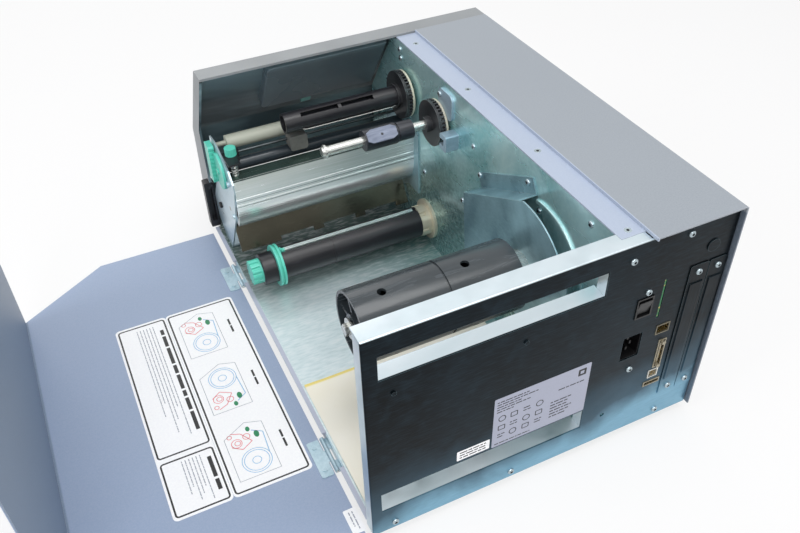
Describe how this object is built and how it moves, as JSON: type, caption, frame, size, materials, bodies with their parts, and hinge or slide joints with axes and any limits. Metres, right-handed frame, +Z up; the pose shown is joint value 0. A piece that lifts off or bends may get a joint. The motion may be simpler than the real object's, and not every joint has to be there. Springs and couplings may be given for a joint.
{
  "type": "thermal label printer",
  "caption": "Industrial thermal transfer label printer with its media cover swung open on the floor hinge",
  "frame": {"origin": "on the table in the middle of the four rubber feet", "axes": "+Z up; +X towards the media side where the cover opens; -Y towards the printing front"},
  "size_m": [0.6398, 0.584, 0.291],
  "materials": {
    "galvanised_steel": "zinc-coated, brushed sheen",
    "painted_steel": "satin powder coat",
    "bezel_plastic": "fine moulded grain",
    "black_plastic": "fine moulded grain",
    "teal_plastic": "satin moulded",
    "aluminium": "extruded",
    "rubber": "matt",
    "bright_steel": "polished",
    "brass": "gold-coloured plate",
    "white_plastic": "satin moulded",
    "clear_window": "smoked gloss",
    "circuit_board": "coated board",
    "beige_roller": "satin",
    "paper": "siliconed liner paper"
  },
  "bodies": {
    "chassis": {"base_pan": "galvanised_steel", "side_skirt": "painted_steel", "rubber_feet": "rubber", "centre_wall": "galvanised_steel", "rear_panel": "galvanised_steel", "slot_covers": "galvanised_steel", "electronics_cover": "painted_steel", "chassis_screws": "bright_steel", "front_bezel": "bezel_plastic", "corner_frame": "black_plastic", "display_housing": "black_plastic", "display_window": "clear_window", "power_inlet": "black_plastic", "power_switch": "black_plastic", "network_port": "bright_steel", "parallel_port": "brass", "usb_port": "bright_steel", "serial_port": "brass", "main_board": "circuit_board", "power_supply": "galvanised_steel", "stepper_motor": "black_plastic", "outer_side_plate": "galvanised_steel", "inner_side_plate": "galvanised_steel", "head_beam": "aluminium", "tear_bar": "bright_steel", "media_guide": "galvanised_steel", "ribbon_rod": "bright_steel", "pressure_bar": "bright_steel", "pressure_bracket": "black_plastic", "pressure_spring": "bright_steel", "ribbon_sensor": "black_plastic", "ribbon_bracket": "galvanised_steel", "rewinder_mount": "black_plastic", "hub_plate": "galvanised_steel", "media_hub_axle": "bright_steel", "floor_liner": "paper", "base_hinge_leaves": "galvanised_steel", "hinge_pins": "bright_steel"},
    "media_cover": {"media_cover": "painted_steel", "cover_hinge_leaves": "galvanised_steel"},
    "printhead": {"printhead": "aluminium"},
    "head_lever": {"head_lever": "teal_plastic"},
    "platen": {"platen_roller": "rubber", "platen_gear": "white_plastic"},
    "motor_pinion": {"motor_pinion": "brass"},
    "ribbon_supply": {"ribbon_supply_shaft": "bright_steel", "ribbon_core_holder": "black_plastic", "ribbon_supply_disc": "black_plastic"},
    "ribbon_takeup": {"ribbon_takeup_spindle": "black_plastic", "ribbon_takeup_disc": "black_plastic"},
    "rewinder": {"rewinder_spindle": "black_plastic", "rewinder_flange": "teal_plastic", "rewinder_knob": "teal_plastic"},
    "media_hub": {"media_hub": "black_plastic"},
    "ribbon_roller": {"ribbon_roller": "beige_roller"},
    "pressure_knob": {"pressure_knob": "teal_plastic"},
    "pressure_block": {"pressure_block": "black_plastic"},
    "power_rocker": {"power_rocker": "black_plastic"},
    "feed_key": {"feed_key": "bezel_plastic"},
    "menu_key": {"menu_key": "bezel_plastic"}
  },
  "joints": [
    {"name": "media_cover_hinge", "type": "hinge", "parent": "chassis", "child": "media_cover", "pos_m": [0.193, 0, 0.014], "axis": [0, -1, 0], "range_deg": [0, 90]},
    {"name": "printhead_lift", "type": "hinge", "parent": "chassis", "child": "printhead", "pos_m": [0, -0.203, 0.104], "axis": [-1, 0, 0], "range_deg": [0, 8]},
    {"name": "head_lever_turn", "type": "hinge", "parent": "chassis", "child": "head_lever", "pos_m": [0.182, -0.216, 0.153], "axis": [-1, 0, 0], "range_deg": [0, 90]},
    {"name": "platen_spin", "type": "hinge", "parent": "chassis", "child": "platen", "pos_m": [0, -0.255, 0.076], "axis": [1, 0, 0], "continuous": true},
    {"name": "pinion_spin", "type": "hinge", "parent": "chassis", "child": "motor_pinion", "pos_m": [-0.07, -0.2325, 0.076], "axis": [1, 0, 0], "continuous": true},
    {"name": "ribbon_supply_spin", "type": "hinge", "parent": "chassis", "child": "ribbon_supply", "pos_m": [0, -0.101, 0.2175], "axis": [1, 0, 0], "continuous": true},
    {"name": "ribbon_takeup_spin", "type": "hinge", "parent": "chassis", "child": "ribbon_takeup", "pos_m": [0, -0.189, 0.2116], "axis": [1, 0, 0], "continuous": true},
    {"name": "rewinder_spin", "type": "hinge", "parent": "chassis", "child": "rewinder", "pos_m": [0, -0.131, 0.054], "axis": [1, 0, 0], "continuous": true},
    {"name": "media_hub_spin", "type": "hinge", "parent": "chassis", "child": "media_hub", "pos_m": [0, 0.12, 0.166], "axis": [1, 0, 0], "continuous": true},
    {"name": "ribbon_roller_spin", "type": "hinge", "parent": "chassis", "child": "ribbon_roller", "pos_m": [0, -0.243, 0.1735], "axis": [1, 0, 0], "continuous": true},
    {"name": "pressure_knob_turn", "type": "hinge", "parent": "chassis", "child": "pressure_knob", "pos_m": [0.17, -0.201, 0.18], "axis": [0, 0, 1], "range_deg": [0, 270]},
    {"name": "pressure_block_slide", "type": "slide", "parent": "chassis", "child": "pressure_block", "axis": [1, 0, 0], "range_m": [-0.06, 0.055]},
    {"name": "power_rocker_tilt", "type": "hinge", "parent": "chassis", "child": "power_rocker", "pos_m": [-0.09125, 0.236, 0.1905], "axis": [1, 0, 0], "range_deg": [0, 12]},
    {"name": "feed_key_press", "type": "slide", "parent": "chassis", "child": "feed_key", "axis": [0, 0.8183, -0.5748], "range_m": [0, 0.0012], "stiffness_N_per_m": 300},
    {"name": "menu_key_press", "type": "slide", "parent": "chassis", "child": "menu_key", "axis": [0, 0.8183, -0.5748], "range_m": [0, 0.0012], "stiffness_N_per_m": 300}
  ],
  "couplings": [
    {"joint": "head_lever_turn", "follows": "printhead_lift", "ratio": 11.25},
    {"joint": "pinion_spin", "follows": "platen_spin", "ratio": -2}
  ]
}
